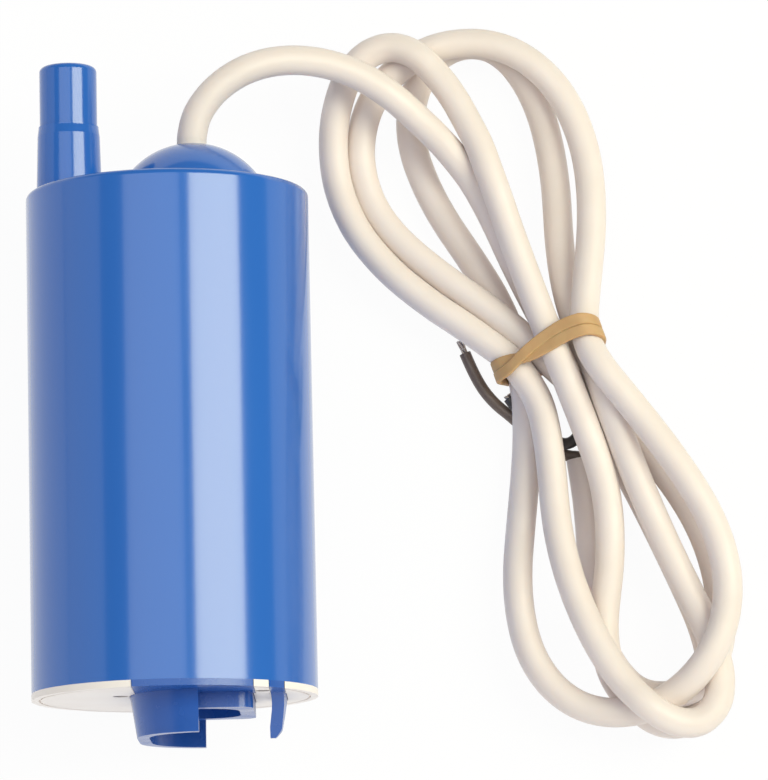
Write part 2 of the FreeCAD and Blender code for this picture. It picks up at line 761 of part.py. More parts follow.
def make_bushes():
    bore = d.shaft_radius + d.running_gap
    front = new_body("front_bush", d.motor_x)
    ring(front, bore, d.bush_radius, d.bush_foot, d.bush_top)
    rear = new_body("rear_bush", d.motor_x)
    ring(rear, bore, d.bush_radius, d.rear_bush_foot, d.cap_boss_top - d.can_wall)


def make_magnets():
    magnets = new_body("field_magnets", d.motor_x)
    arc = ring(magnets, d.magnet_inner, d.magnet_outer, d.magnet_foot, d.magnet_top,
               angle=d.magnet_angle, start=d.magnet_angle * -0.5)
    repeat_round(magnets, [arc], PAIR)
    clips = new_body("magnet_clips", d.motor_x)
    arc = ring(clips, d.clip_inner, d.magnet_outer, d.magnet_foot, d.magnet_top,
               angle=d.clip_angle, start=90 - d.clip_angle * 0.5)
    repeat_round(clips, [arc], PAIR)


def make_end_cap():
    body = new_body("motor_end_cap", d.motor_x)
    inner = d.can_radius - d.can_wall - d.gap
    bore = d.shaft_hole
    revolve(body, [
        (d.bush_radius, d.cap_plug_foot + d.can_wall),
        (inner - d.can_wall, d.cap_plug_foot + d.can_wall),
        (inner - d.can_wall, d.cap_plug_foot),
        (inner, d.cap_plug_foot),
        (inner, d.can_top),
        (d.can_radius, d.can_top),
        (d.can_radius, d.cap_top),
        (d.cap_boss, d.cap_top),
        (d.cap_boss, d.cap_boss_top),
        (bore, d.cap_boss_top),
        (bore, d.cap_boss_top - d.can_wall),
        (d.bush_radius, d.cap_boss_top - d.can_wall),
    ])
    for side in (1, -1):
        extrude(body, rectangle(d.terminal_x * side, 0, d.terminal_thickness * 0.5, d.terminal_width * 0.5),
                d.cap_plug_foot, d.cap_top, cut=True)


def make_brush_gear():
    brushes = new_body("carbon_brushes", d.motor_x)
    inner = d.commutator_radius + d.running_gap
    brush = extrude(brushes, rectangle(inner + d.brush_length * 0.5, 0, d.brush_length * 0.5,
                                       d.brush_width * 0.5), d.brush_foot, d.brush_top)
    repeat_round(brushes, [brush], PAIR)
    arms = new_body("brush_arms", d.motor_x)
    half = d.arm_thickness * 0.5
    blade_x = inner + d.brush_length + half
    blade = extrude(arms, rectangle(blade_x, 0, half, d.brush_width * 0.5), d.brush_foot, d.terminal_foot)
    reach = (d.terminal_x + d.terminal_thickness * 0.5 - blade_x + half) * 0.5
    foot = extrude(arms, rectangle(blade_x - half + reach, 0, reach, d.brush_width * 0.5),
                   d.terminal_foot - d.arm_thickness, d.terminal_foot)
    repeat_round(arms, [blade, foot], PAIR)


def make_terminals():
    body = new_body("motor_terminals", d.motor_x)
    tab = extrude(body, rectangle(d.terminal_x, 0, d.terminal_thickness * 0.5, d.terminal_width * 0.5),
                  d.terminal_foot, d.terminal_top)
    repeat_round(body, [tab], PAIR)


# Cable: tail in the dome, leads to the motor, and what lies beside the pump

def make_cable_tail():
    tail = new_body("cable_tail", d.dome_x)
    ring(tail, 0, d.cable_radius, d.tail_foot, dome_apex + d.tail_reach)
    seal = new_body("cable_seal", d.dome_x)
    ring(seal, d.cable_radius, d.cable_seal_radius, d.cable_seal_foot, d.cable_seal_top)


def free_piece(label, shape):
    """A soft piece that follows a free path."""
    if shape.isNull() or not shape.isValid():
        raise RuntimeError(f"{label} has no valid shape")
    piece = doc.addObject("Part::Feature", label)
    piece.Label = label
    piece.Shape = shape
    pieces.append(piece)
    return piece


def bend_path(points):
    """Straight runs joined by arcs as large as the runs allow, with the bend radii."""
    edges, radii = [], []
    start = points[0]
    for before, corner, after in zip(points, points[1:], points[2:]):
        back = before.sub(corner)
        ahead = after.sub(corner)
        turn = math.pi - back.getAngle(ahead)
        leg = 0.45 * min(back.Length, ahead.Length)
        radii.append(leg / math.tan(turn / 2))
        unit_back = Vector(back).normalize()
        unit_ahead = Vector(ahead).normalize()
        first, last = corner + unit_back * leg, corner + unit_ahead * leg
        inward = (unit_back + unit_ahead).normalize()
        depth = radii[-1] / math.cos(turn / 2) - radii[-1]
        edges.append(Part.LineSegment(start, first).toShape())
        edges.append(Part.Arc(first, corner + inward * depth, last).toShape())
        start = last
    edges.append(Part.LineSegment(start, points[-1]).toShape())
    return Part.Wire(edges), radii


def tube(label, points, radius):
    """A round cord along a bent path, with its volume checked against its length."""
    path, radii = bend_path(points)
    section = Part.Wire([Part.Circle(points[0], points[1].sub(points[0]), radius).toShape()])
    solid = path.makePipeShell([section], True, False)
    expected = math.pi * radius ** 2 * path.Length
    print(f"{label}: length {path.Length:.1f}, smallest bend radius {min(radii):.1f}, "
          f"volume {solid.Volume / expected:.4f} of section times length")
    return free_piece(label, solid)


def upright(x, y, z):
    """A point of the upright pump, laid on its back."""
    return Vector(x, z + lay_y.value, d.housing_radius.value - y)


def make_leads():
    """Two insulated cores from the motor's terminals to the end of the cable's sheath."""
    for label, side in (("lead_brown", -1), ("lead_black", 1)):
        terminal = d.motor_x.value + d.terminal_x.value * side
        exit_x = d.dome_x.value + d.core_spread.value * side
        low, high = d.terminal_top.value, d.tail_foot.value
        tube(label, [
            upright(terminal, 0, low),
            upright(terminal, 0, low + d.lead_stub.value),
            upright(exit_x, 0, high - d.lead_stub.value),
            upright(exit_x, 0, high),
        ], d.core_radius.value)


CABLE_ROUTE = [
    (4.7, 48.05, 26), (4.75, 51.2, 26), (6.6, 55.3, 26), (10.9, 59.8, 25.5), (17.2, 63.2, 24.1),
    (24.8, 64.3, 22.2), (33.2, 62.9, 20.2), (41.0, 58.7, 18.2), (47.2, 53.3, 14.6),
]
BROWN_CORE_ROUTE = [
    (64.6, -4.2, 2.6), (61.2, -0.4, 1.9), (58.2, 4.0, 1.5), (55.9, 8.3, 1.3), (54.2, 12.0, 1.3),
]
BLACK_CORE_ROUTE = [(65.4, -2.4, 5.4), (62.7, -0.6, 4.6), (61.5, 2.0, 3.4)]
BARE_LENGTHS = (2.0, 1.6)


def make_cable():
    tube("cable_lead", [Vector(*point) for point in CABLE_ROUTE], d.cable_radius.value)
    strands = []
    for label, route, bare in (("core_brown", BROWN_CORE_ROUTE, BARE_LENGTHS[0]),
                               ("core_black", BLACK_CORE_ROUTE, BARE_LENGTHS[1])):
        points = [Vector(*point) for point in route]
        tube(label, points, d.core_radius.value)
        along = points[-1].sub(points[-2])
        strands.append(Part.makeCylinder(d.strand_radius.value, bare, points[-1], along))
    free_piece("core_tips", Part.makeCompound(strands))


HANK_OUTLINE = [
    (81.6, 14.5), (82.2, 46), (59, 74.4, 27), (43, 74.4), (28.2, 49, 24), (34, 30), (49.2, 17.2),
    (60.6, 9.8), (63.4, 3), (63.2, -6), (60.6, -34), (84, -62, 26), (94, -63.4), (104.6, -50, 15),
    (104.4, -30), (97, -10, 60),
]


def make_hank():
    """The tied hank as one closed outer shape, with the rubber band round its waist."""
    outline = doc.addObject("Sketcher::SketchObject", "hank_outline")
    draw_outline(outline, HANK_OUTLINE)
    doc.recompute()
    block = doc.addObject("Part::Extrusion", "hank_block")
    block.Base = outline
    block.DirMode = "Normal"
    block.Solid = True
    block.setExpression("LengthFwd", d.hank_height.text)

    outer = band_box("band_outside", length(0), d.hank_height + d.band_thickness * 0.5)
    inner = band_box("band_inside", d.band_thickness, d.hank_height - d.band_thickness * 0.5)
    band = doc.addObject("Part::Cut", "rubber_band")
    band.Label = "rubber_band"
    band.Base, band.Tool = outer, inner
    doc.recompute()
    hank = doc.addObject("Part::Cut", "cable_hank")
    hank.Label = "cable_hank"
    hank.Base, hank.Tool = block, band
    doc.recompute()
    pieces.extend([hank, band])


def band_box(name, inset, height):
    """A box across the hank's waist, turned to the band's slant."""
    box = doc.addObject("Part::Box", name)
    half_length = d.band_length * 0.5 - inset
    half_width = d.band_width * 0.5
    turn = math.radians(d.band_angle.value)
    across, along = Vector(math.cos(turn), math.sin(turn), 0), Vector(-math.sin(turn), math.cos(turn), 0)
    box.setExpression("Length", (half_length * 2).text)
    box.setExpression("Width", d.band_width.text)
    box.setExpression("Height", (height - inset).text)
    centre = Vector(d.band_x.value, d.band_y.value, inset.value)
    corner = centre - across * half_length.value - along * half_width.value
    box.Placement = FreeCAD.Placement(corner, FreeCAD.Rotation(Vector(0, 0, 1), d.band_angle.value))
    return box


make_housing()
make_outlet_spigot()
make_base_plate()
make_base_screws()
make_intake_guard()
make_pump_chamber()
make_seals()
make_impeller()
make_shaft()
make_armature()
make_commutator()
make_thrust_washers()
make_motor_can()
make_motor_screws()
make_bushes()
make_magnets()
make_end_cap()
make_brush_gear()
make_terminals()
make_cable_tail()
make_leads()
make_cable()
make_hank()
doc.recompute()

for item in doc.Objects:
    if "Invalid" in item.State or "Error" in item.State:
        raise RuntimeError(f"{item.Label} failed: {item.State}")
for piece in pieces:
    if piece.Shape.isNull() or not piece.Shape.isValid():
        raise RuntimeError(f"{piece.Label} has no valid shape")

os.makedirs("parts", exist_ok=True)
for piece in pieces:
    piece.Shape.exportStep(f"parts/{piece.Label}.step")
print(f"{len(pieces)} pieces written")
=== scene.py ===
import math

import bmesh
import bpy
import numpy as np
from mathutils import Matrix, Vector


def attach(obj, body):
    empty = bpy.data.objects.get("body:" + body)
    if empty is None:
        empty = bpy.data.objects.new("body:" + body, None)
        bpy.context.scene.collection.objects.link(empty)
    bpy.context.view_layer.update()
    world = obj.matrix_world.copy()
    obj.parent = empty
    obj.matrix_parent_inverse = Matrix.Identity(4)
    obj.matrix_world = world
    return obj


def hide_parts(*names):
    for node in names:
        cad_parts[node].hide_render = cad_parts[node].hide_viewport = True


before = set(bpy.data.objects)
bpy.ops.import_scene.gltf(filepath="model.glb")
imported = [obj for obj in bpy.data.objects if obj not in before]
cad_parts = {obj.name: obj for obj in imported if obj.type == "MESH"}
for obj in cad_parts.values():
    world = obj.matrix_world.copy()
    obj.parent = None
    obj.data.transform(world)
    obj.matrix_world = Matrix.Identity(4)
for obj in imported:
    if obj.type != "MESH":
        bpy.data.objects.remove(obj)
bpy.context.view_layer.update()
scene = bpy.context.scene
scene.view_settings.view_transform = "Standard"

# Camera
# The pump was photographed from almost straight above, from a little way towards its intake end, with a
# long lens turned a degree or so.
camera_place = Vector((0.03915, -0.1421, 0.9318))
camera_target = Vector((0.03918, 0.00086, 0.026))
camera_roll = math.radians(-1.30)

camera_data = bpy.data.cameras.new("camera")
camera_data.sensor_fit = "HORIZONTAL"
camera_data.sensor_width = 36
camera_data.lens = 234.6
camera_data.clip_start = 0.01
camera = bpy.data.objects.new("camera", camera_data)
scene.collection.objects.link(camera)
back = (camera_place - camera_target).normalized()
right = Vector((0, 1, 0)).cross(back).normalized()
up = back.cross(right)
turned_right = math.cos(camera_roll) * right + math.sin(camera_roll) * up
turned_up = back.cross(turned_right)
camera.matrix_world = Matrix.Translation(camera_place) @ Matrix(
    (turned_right, turned_up, back)
).transposed().to_4x4()
scene.camera = camera

# Supply cable
# About 1.2 m of round two-core flex, 5.5 mm over its cream extruded PVC sheath. It leaves the top of the
# dome, bows over and is folded into a loose hank of seven lobes that a rubber band holds at the waist.


def linear(code):
    """A hex colour, as it looks on a screen, in the linear values that a shader takes."""
    shown = [int(code[i:i + 2], 16) / 255 for i in (1, 3, 5)]
    return [s / 12.92 if s <= 0.04045 else ((s + 0.055) / 1.055) ** 2.4 for s in shown] + [1]


def add_node(tree, kind, settings=(), **links):
    """Adds a node. Settings are attributes and inputs with values, links are input=socket, i0 the first."""
    node = tree.nodes.new(kind)
    for key, value in dict(settings).items():
        if isinstance(key, str) and hasattr(node, key):
            setattr(node, key, value)
        else:
            node.inputs[key].default_value = value
    for name, socket in links.items():
        number = name[1:]
        target = node.inputs[int(number) if number.isdigit() else name.replace("_", " ")]
        tree.links.new(socket, target)
    return node


def new_material(name):
    """An empty material with a principled shader, and its node tree."""
    material = bpy.data.materials.new(name)
    material.use_nodes = True
    tree = material.node_tree
    return material, tree, tree.nodes["Principled BSDF"]


def mottled(name, light, dark, grain, rough, dent=0, metal=0, stretch=(1, 1, 1)):
    """A finish that drifts between two colours, and its gloss too. Grain is its patches' size in mm."""
    material, tree, shader = new_material(name)
    shader.inputs["Metallic"].default_value = metal
    place = add_node(tree, "ShaderNodeTexCoord").outputs["Object"]
    along = add_node(tree, "ShaderNodeMapping", {"Scale": stretch}, Vector=place).outputs[0]
    patches = add_node(tree, "ShaderNodeTexNoise", {"Scale": 1000 / grain, "Detail": 5}, Vector=along)
    tint = add_node(tree, "ShaderNodeMix", {"data_type": "RGBA", 6: linear(light), 7: linear(dark)},
                    i0=patches.outputs["Fac"])
    tree.links.new(tint.outputs[2], shader.inputs["Base Color"])
    # The noise seldom leaves 0.3 to 0.7, so that stretch is given the whole range of gloss
    spread = {"From Min": 0.3, "From Max": 0.7, "To Min": rough[0], "To Max": rough[1]}
    gloss = add_node(tree, "ShaderNodeMapRange", spread, Value=patches.outputs["Fac"])
    tree.links.new(gloss.outputs[0], shader.inputs["Roughness"])
    if dent:
        bump = add_node(tree, "ShaderNodeBump", {"Strength": 0.6, "Distance": dent / 1000},
                        Height=patches.outputs["Fac"])
        tree.links.new(bump.outputs[0], shader.inputs["Normal"])
    return material


def join_piece(name, data, material, body):
    """Puts a finished mesh or curve in the scene as a piece that rides on a body."""
    piece = bpy.data.objects.new(name, data)
    scene.collection.objects.link(piece)
    data.materials.append(material)
    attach(piece, body)
    return piece


def line_curve(name, points, radius, fill=True):
    """A round flexible line on one smooth spline. Points are in millimetres."""
    curve = bpy.data.curves.new(name, "CURVE")
    curve.dimensions = "3D"
    curve.resolution_u = 8
    curve.bevel_depth = radius / 1000
    curve.bevel_resolution = 6
    curve.use_fill_caps = fill
    spline = curve.splines.new("NURBS")
    spline.points.add(len(points) - 1)
    for place, point in zip(spline.points, points):
        place.co = (*(np.asarray(point, float) / 1000), 1)
    spline.order_u = 3
    spline.use_endpoint_u = True
    return curve


def follow(points):
    """Points on the smooth spline that these control points give, in millimetres."""
    holder = bpy.data.objects.new("follow", line_curve("follow", points, 0, fill=False))
    scene.collection.objects.link(holder)
    bpy.context.view_layer.update()
    mesh = bpy.data.meshes.new_from_object(holder)
    followed = np.array([v.co for v in mesh.vertices], float) * 1000
    bpy.data.objects.remove(holder)
    return followed


cable_size = 5.5
# Where the cable runs, as x and y in millimetres and a third value. For the lead, which hangs clear of the
# rest, that is its height. For the hank it says which run lies over which, the higher over the lower.
lead_run = [
    (4.7, 48.05, 26), (4.7, 51.2, 26), (6.6, 55.3, 26), (10.9, 59.8, 25.5), (17.2, 63.2, 24.1),
    (24.8, 64.3, 22.2), (33.2, 62.9, 20.2), (41.0, 58.7, 18.2), (47.2, 53.3, 14.6),
]
lobe_runs = [
    (54, 47.5, 10), (59.5, 38.5, 8), (63.9, 28, 6), (68.8, 18, 4),
    (74, 8, 2), (81, -5, 2), (87.5, -18, 2), (93.8, -32, 2), (99.2, -45, 2), (99, -56, 2),
    (92, -61, 4), (80.5, -53.5, 4),
    (78.3, -42, 20), (80.7, -30, 20), (80.4, -16, 20), (76.3, -4, 20),
    (71.7, 8, 29), (67.4, 20.2, 29), (63.2, 32.4, 29), (59, 46, 29), (53, 60, 29), (44, 70, 23),
    (34.6, 66.8, 15), (30, 53.3, 15), (31.9, 38.2, 15), (39.9, 26.7, 15), (51, 18, 15), (61.3, 11.8, 20),
    (68.5, 2.6, 32), (70.1, -10.8, 32), (70.6, -24.8, 32), (74.3, -39, 32), (81.4, -53.3, 32),
    (92, -62.2, 30), (100, -59, 16), (99.8, -46.7, 16),
    (92.8, -32, 14), (87.1, -18.4, 14), (82.6, -6, 14), (78.5, 6, 14),
    (74.2, 18, 7), (72.6, 30, 7), (72.6, 44.4, 7), (69.6, 60.5, 7), (61, 72, 7),
    (49.3, 69.3, 11), (43.9, 55.5, 11), (48.8, 40.3, 11), (57, 28, 11), (62.7, 17.7, 11),
    (65.8, 5, 11), (66, -6, 11), (64.4, -20, 11), (62.7, -34.3, 11), (65.1, -48.5, 11),
    (74.1, -58, 20), (87.3, -58.3, 20),
    (98.3, -50, 26), (102.6, -37, 26), (100, -24, 26), (92.7, -11.6, 26), (84, 0, 26),
    (76, 10, 20), (77.2, 21, 14), (79.1, 34.7, 10), (78.4, 49, 10), (73, 62, 10), (62.5, 70, 10),
    (48.9, 69.6, 13), (38.2, 61.5, 13), (34.6, 48.7, 13), (38, 36.4, 13), (48.5, 26.2, 13), (59.8, 17.6, 13),
    (68, 9, 13),
    (77, 2, 5), (85, -5, 5), (92.4, -14, 5), (98.7, -25, 5), (101.4, -37.5, 5), (100, -50, 5),
    (92, -56.5, 3), (83, -53.5, 3),
    (77, -42, 7), (77.4, -31, 7), (77, -17.6, 7), (75.8, -9.4, 7),
]

# The rubber band round the waist, which the cable lies on and is held by
band_centre = np.array([70.2, 9.6])
band_angle = math.radians(18)
band_across = np.array([math.cos(band_angle), math.sin(band_angle)])
band_along = np.array([-math.sin(band_angle), math.cos(band_angle)])
band_thickness = 1.0
# The cable lies on the band up to this far to each side of its middle line
band_half_width = 4
# Runs nearer than this to its centre pass through it
band_half_span = 16
# How far to the left it lets the middle of a run lie
band_reach = 7.2

# Stations along the drawn route, about this far apart
spacing = 2.6
# The lead keeps its drawn bow this far along
lead_hold = 57.5
# The hank's runs start above one another, by their order
lowest_start = 2
start_step = 0.55
drawn = follow(lead_run + lobe_runs)
run_length = np.r_[0, np.cumsum(np.linalg.norm(np.diff(drawn[:, :2], axis=0), axis=1))]
stations = np.linspace(0, run_length[-1], 2 * int(run_length[-1] / spacing / 2) + 1)
drawn = np.stack([np.interp(stations, run_length, drawn[:, k]) for k in range(3)], 1)
order = drawn[:, 2].copy()
held = stations < lead_hold
laid = drawn.copy()
laid[~held, 2] = lowest_start + order[~held] * start_step
in_band = np.abs((laid[:, :2] - band_centre) @ band_along) < band_half_width
rest_height = cable_size / 2 + np.where(in_band, band_thickness, 0)


def bend_of(line, reach):
    """How far the middle between the stations on each side lies from each station."""
    return (np.roll(line, reach, 0) + np.roll(line, -reach, 0)) / 2 - line


# The cable is laid down by its weight: each run sinks until it rests on the surface, the band or the runs
# that it crosses, and bends no more sharply than it is drawn.
rounds = 450
contact_passes = 3
# Share of a bend that one round takes out, over one station and over four
stiffness = {1: 0.3, 4: 0.18}
pull_to_drawn = 0.06
# It sinks by this at first and ever less, but a little even in the last round
sink = 0.12
first_sink = 1.08
# Runs that look nearer than this from above cross, and the others lie side by side
crossing_within = 0.75 * cable_size
# Share of an overlap that one pass takes out, between runs and at the band
give = 0.4
squeeze = 0.5
# Stations nearer than this along the cable can't touch
neighbours = 6
first, second = np.triu_indices(len(laid), neighbours)
for count in range(rounds):
    eased = laid.copy()
    for reach, share in stiffness.items():
        bend = bend_of(laid, reach)
        bend[:, :2] -= bend_of(drawn, reach)[:, :2]
        bend[:reach] = 0
        bend[-reach:] = 0
        eased += share * bend
    eased[:, :2] += (drawn[:, :2] - eased[:, :2]) * pull_to_drawn
    eased[:, 2] -= sink * (first_sink - count / rounds)
    eased[held] = drawn[held]
    laid = eased
    for _ in range(contact_passes):
        between = laid[first] - laid[second]
        apart = np.hypot(between[:, 0], between[:, 1])
        near = apart < cable_size
        one, other, between, apart = first[near], second[near], between[near], apart[near]
        # Runs that cross lift and lower each other
        over = np.where(order[one] >= order[other], 1, -1)
        crossing = apart < crossing_within
        short = np.sqrt(cable_size ** 2 - apart ** 2) - over * between[:, 2]
        lift = np.where(crossing & (short > 0), give * short * over, 0)
        # Runs that lie side by side push each other apart
        distance = np.linalg.norm(between, axis=1)
        beside = ~crossing & (distance < cable_size)
        share = np.where(beside, give * (cable_size / np.maximum(distance, 0.1) - 1), 0)
        push = share[:, None] * between
        push[:, 2] += lift
        moved = np.zeros_like(laid)
        touches = np.zeros(len(laid))
        np.add.at(moved, one, push)
        np.add.at(moved, other, -push)
        np.add.at(touches, one, beside | (lift != 0))
        np.add.at(touches, other, beside | (lift != 0))
        moved[held] = 0
        laid += moved / np.maximum(touches, 1)[:, None]
        laid[:, 2] = np.maximum(laid[:, 2], rest_height)
        # The band holds the leftmost run in
        across = (laid[:, :2] - band_centre) @ band_across
        in_waist = in_band & (np.abs(across) < band_half_span)
        outside = np.where(in_waist, np.minimum(across + band_reach, 0), 0)
        laid[:, :2] -= squeeze * outside[:, None] * band_across

# Soft PVC that has been handled: slightly greyer in patches of about a centimetre, with light sinking in
sheath = mottled("pvc_sheath_extruded", "#EEE4DF", "#E2D7D0", grain=11, rough=(0.42, 0.6), dent=0.03)
shader = sheath.node_tree.nodes["Principled BSDF"]
shader.inputs["IOR"].default_value = 1.53
shader.inputs["Subsurface Weight"].default_value = 0.3
shader.inputs["Subsurface Radius"].default_value = (1.0, 0.85, 0.7)
shader.inputs["Subsurface Scale"].default_value = 0.002

# One more point just past the dome keeps the cable's start square to it
square_start = laid[0] + (0, 0.9, 0)
course = np.insert(laid[::2], 1, square_start, 0)
cable = join_piece("supply_cable", line_curve("supply_cable", course, cable_size / 2), sheath, "pump")
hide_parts("cable_lead", "cable_hank")

# Rubber band
# A flat tan band of natural rubber, cut from a dipped tube and doubled round the waist of the hank. Its two
# strands lie side by side on the right and cross near the left, and bow where the runs under them fan out.
along = (laid[:, :2] - band_centre) @ band_along
across = (laid[:, :2] - band_centre) @ band_across
passes = [
    k for k in range(len(laid) - 1)
    if along[k] * along[k + 1] < 0 and abs(across[k]) < band_half_span
]
section = np.array([(across[k], laid[k, 2]) for k in passes])


def round_bundle(turn, clear):
    """The point of a line drawn tight round the bundle's runs, where it faces this way."""
    softness = 0.35
    facing = np.array([math.cos(turn), math.sin(turn)])
    reach = section @ facing
    weight = np.exp((reach - reach.max()) / softness)
    return weight @ section / weight.sum() + facing * (cable_size / 2 + clear)


strand_width = 2.3
# How far a strand's middle lies to its side above the bundle, and what part of that below it
strand_offset = 1.1
offset_below = 0.95
# How close the rubber is to the cable
snug = 0.05
# The strands cross this far left of the centre, within about this length, where one hops over the other
crossing_left = 5.5
crossing_length = 2.2
hop_height = 1.0
hop_length = 3
# Both bow by this much at the most, this far right of the centre
bow_depth = 2.2
bow_right = 4
bow_length = 7.5
# A little play in the turn, so that rounding can't put a seam on the wrong side
play = 0.001
band_mesh = bmesh.new()
bmesh.ops.create_grid(band_mesh, x_segments=240, y_segments=4, size=0.5)
for vert in band_mesh.verts:
    turn = (vert.co.x + 0.5) * 2 * math.tau
    spot = round_bundle(turn, snug)
    past_crossing = spot[0] + crossing_left
    above = math.sin(turn) > -play
    side = past_crossing / math.hypot(past_crossing, crossing_length) if above else -offset_below
    if int(turn / math.tau + play) % 2 == 0:
        hop = hop_height * math.exp(-(past_crossing / hop_length) ** 2)
        spot = round_bundle(turn, snug + hop)
    else:
        side = -side
    bow = bow_depth * max(math.sin(turn), 0) * math.exp(-((spot[0] - bow_right) / bow_length) ** 2)
    shift = bow + strand_offset * side + vert.co.y * strand_width
    flat = band_centre + band_across * spot[0] + band_along * shift
    vert.co = Vector((flat[0], flat[1], max(spot[1], band_thickness))) / 1000
bmesh.ops.remove_doubles(band_mesh, verts=band_mesh.verts, dist=1e-5)
bmesh.ops.recalc_face_normals(band_mesh, faces=band_mesh.faces)
band_data = bpy.data.meshes.new("waist_band")
band_mesh.to_mesh(band_data)
band_mesh.free()

# Matt, dusty and a little translucent at its edges
rubber = mottled("natural_rubber_band", "#BA9260", "#CEA979", grain=2.5, rough=(0.45, 0.65), dent=0.02)
shader = rubber.node_tree.nodes["Principled BSDF"]
shader.inputs["Subsurface Weight"].default_value = 0.2
shader.inputs["Subsurface Scale"].default_value = 0.001
band = join_piece("waist_band", band_data, rubber, "pump")
wall = band.modifiers.new("wall", "SOLIDIFY")
wall.thickness = 0.0009
wall.offset = 1
smooth = band.modifiers.new("smooth", "SUBSURF")
smooth.levels = 1
smooth.render_levels = 1
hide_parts("rubber_band")

# Supply cores
# Brown and black cores, insulated in PVC, come out of the sheath's cut end under the hank and run out to its
# left. A little of their copper strands is bare, tinned by the dip that stops them fraying.
core_size = 2.2
core_routes = {
    "brown_core": [
        (75.8, -12, 2.3), (76, -8.8, 2.2), (73.6, -8.8, 2), (70.5, -7.4, 1.6), (67.5, -5.5, 1.4),
        (63.6, -1.4, 1.4), (59.6, 1.9, 1.3), (56.5, 6.4, 1.2), (54.6, 11.4, 1.2),
    ],
    "black_core": [
        (76.2, -12, 3.4), (77.2, -7.8, 4.8), (80.2, -5.2, 7), (79.7, -0.6, 7), (77, -2.6, 4.6),
        (74, -7.2, 3.2), (69.5, -5.2, 2.8), (65, -1.2, 3), (62.6, 2.4, 3),
    ],
}
core_colours = {"brown_core": ("#77685E", "#685A51"), "black_core": ("#4A4644", "#3A3736")}
core_nodes = {"brown_core": "core_brown", "black_core": "core_black"}
bare_lengths = {"brown_core": 2.6, "black_core": 0.6}
copper = mottled("copper_strand_tinned", "#D6CEC6", "#B7ABA0", grain=1.5, rough=(0.25, 0.45), metal=1)

# Seven strands each, one in the middle of six, that start inside the insulation, twist and spread a little
strand_count = 7
strand_size = 0.34
strand_ring = 0.38
strand_twist = 1.4
strand_spread = 0.5
strand_inside = 0.3
strand_steps = 4
strands = bpy.data.curves.new("bare_strands", "CURVE")
strands.dimensions = "3D"
strands.resolution_u = 4
strands.bevel_depth = strand_size / 2000
strands.bevel_resolution = 2
strands.use_fill_caps = True
for name, route in core_routes.items():
    plastic = mottled("pvc_" + name, *core_colours[name], grain=2, rough=(0.35, 0.5))
    core = join_piece(name, line_curve(name, route, core_size / 2), plastic, "pump")
    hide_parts(core_nodes[name])
    tip = np.array(route[-1], float)
    ahead = tip - np.array(route[-2], float)
    ahead /= np.linalg.norm(ahead)
    sideways = np.cross(ahead, (0, 0, 1))
    rise = np.cross(sideways, ahead)
    for number in range(strand_count):
        turn = number * math.tau / (strand_count - 1)
        ring = strand_ring if number < strand_count - 1 else 0
        spline = strands.splines.new("NURBS")
        spline.points.add(strand_steps)
        for step in range(strand_steps + 1):
            part = step / strand_steps
            twist = turn + strand_twist * part
            spread = ring * (1 + strand_spread * part)
            spot = tip + ahead * (part * (bare_lengths[name] + strand_inside) - strand_inside)
            spot = spot + spread * (math.cos(twist) * sideways + math.sin(twist) * rise)
            spline.points[step].co = (*(spot / 1000), 1)
        spline.order_u = 3
        spline.use_endpoint_u = True
tips = join_piece("bare_strands", strands, copper, "pump")
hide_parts("core_tips")

# Housing
# One tube of glossy blue ABS with a closed end, moulded with the dome that the cable comes out of and the
# stepped hose spigot beside it. It was drawn from its tool lengthwise, so its gloss has faint long streaks.


def dress(material, *nodes):
    """Gives CAD pieces their finish."""
    for node in nodes:
        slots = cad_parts[node].data.materials
        slots.clear()
        slots.append(material)


lengthwise = (1, 0.12, 1)
blue = mottled("blue_abs_moulded", "#1A60BA", "#2268C0", grain=14, rough=(0.13, 0.2), dent=0.012,
               stretch=lengthwise)
shader = blue.node_tree.nodes["Principled BSDF"]
shader.inputs["IOR"].default_value = 1.54
shader.inputs["Coat Weight"].default_value = 0.3
shader.inputs["Coat Roughness"].default_value = 0.1
dress(blue, "housing", "outlet_spigot")

# Base plate
# A white ABS disc pressed into the open end of the housing, with a shallow groove round it. It was moulded
# satin, which gives a soft white with little shine.
plate_white = mottled("white_abs_moulded", "#F8F2EE", "#F1E9E3", grain=9, rough=(0.28, 0.4), dent=0.008)
dress(plate_white, "base_plate")

# Intake guard
# A collar with a curved shield and a claw that keep its mouth clear of whatever the pump stands on, and a
# tongue and a tab that reach out to the rim through notches in the plate. Blue ABS again, moulded duller,
# and its colour painted a shade darker than the housing's to stand for the shade it lies in under the
# housing's rim.
# Painted shade: this is the housing's blue, darkened for the shade under the rim
guard_blue_painted_shade = mottled("guard_abs_painted_shade", "#2054A8", "#265CB0", grain=6, rough=(0.2, 0.32), dent=0.01)
dress(guard_blue_painted_shade, "intake_guard")

# Screws
# Three small steel screws with low round heads, sunk in the base plate, hold it to the pump chamber, and two
# more hold the motor there. Damp has dulled the steel to a blotchy grey.
dull_steel = mottled("steel_dulled", "#8A8782", "#6B6660", grain=0.8, rough=(0.35, 0.6), dent=0.01, metal=1)
dress(dull_steel, "base_screws", "motor_screws")

# Pump chamber and seals
# The volute is moulded in the same white ABS as the base plate. Nitrile rubber, pressed to shape and a soft
# matt black, seals it, the riser, the shaft and the cable.
dress(plate_white, "pump_chamber")
nitrile = mottled("nitrile_rubber_moulded", "#1D1D1F", "#29292B", grain=1.2, rough=(0.5, 0.7), dent=0.015)
dress(nitrile, "chamber_seal", "riser_seal", "lip_seal", "cable_seal")

# Cable tail
# The end of the cable inside the dome, in the same PVC as the rest.
dress(sheath, "cable_tail")

# Impeller
# Six curved vanes under a shroud, moulded in white acetal, which looks a little waxy.
acetal = mottled("white_acetal_moulded", "#E9E7E1", "#DEDBD3", grain=3, rough=(0.3, 0.45), dent=0.006)
dress(acetal, "impeller")

